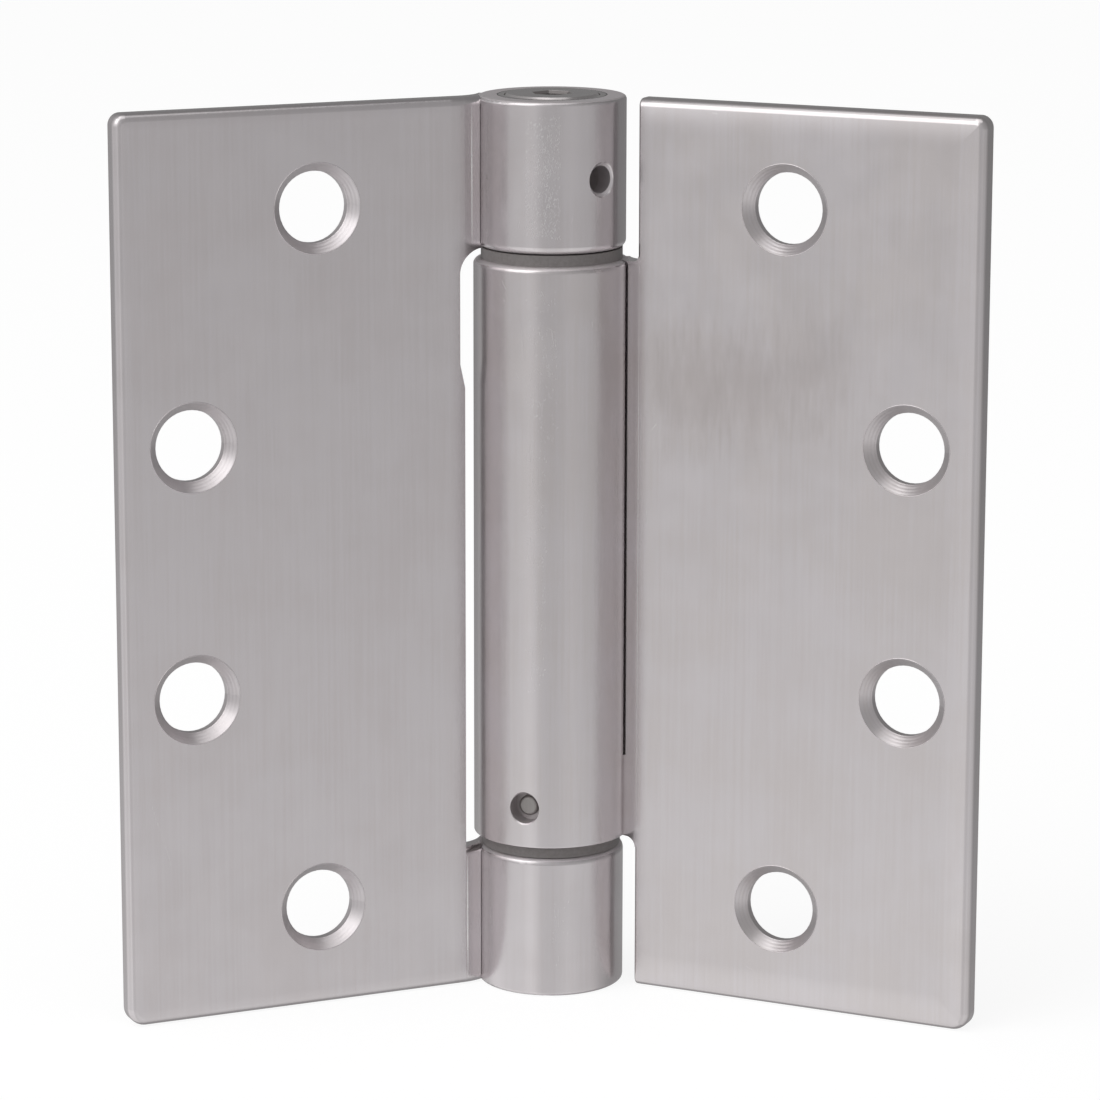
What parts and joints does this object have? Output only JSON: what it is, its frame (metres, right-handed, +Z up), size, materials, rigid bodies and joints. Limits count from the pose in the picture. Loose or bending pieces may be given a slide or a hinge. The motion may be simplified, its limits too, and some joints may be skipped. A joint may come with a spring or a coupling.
{
  "type": "spring butt hinge",
  "caption": "Full-mortise spring butt hinge in satin stainless steel: two countersunk leaves on a long barrel that houses a torsion spring, with a turning tension plug on top.",
  "frame": {"origin": "on the hinge axis, in the flat underside of the bottom knuckle's plug, level with the lower ends of the leaves", "axes": "+Z up the hinge axis, the hinge standing as in use; the frame leaf runs along -X with its countersunk face towards -Y; the door leaf is stored 49.9 degrees short of flat, as in the picture"},
  "size_m": [0.0964, 0.0526, 0.1145],
  "materials": {
    "leaf_steel": "satin brushed",
    "plug_steel": "turned",
    "washer_dark": "dark self-lubricating washer",
    "bushing_bronze": "sintered bronze",
    "pin_steel": "drawn",
    "spring_steel": "drawn wire"
  },
  "bodies": {
    "frame": {"frame_leaf": "leaf_steel", "retaining_bushing": "plug_steel", "lower_thrust_washer": "washer_dark", "pivot_pin": "plug_steel", "bottom_plug": "plug_steel"},
    "door": {"door_leaf": "leaf_steel", "upper_thrust_washer": "washer_dark", "upper_barrel_bushing": "bushing_bronze", "lower_barrel_bushing": "bushing_bronze", "spring_anchor": "plug_steel", "anchor_pin": "pin_steel", "torsion_spring": "spring_steel"},
    "plug": {"tension_plug": "plug_steel"}
  },
  "joints": [
    {"name": "leaf_swing", "type": "hinge", "parent": "frame", "child": "door", "pos_m": [0, 0, 0], "axis": [0, 0, 1], "range_deg": [-130.1, 49.9], "stiffness_Nm_per_rad": 0.64, "deforming": ["torsion_spring"]},
    {"name": "tension_turn", "type": "hinge", "parent": "frame", "child": "plug", "pos_m": [0, 0, 0], "axis": [0, 0, 1], "range_deg": [-240, 0], "deforming": ["torsion_spring"]}
  ]
}
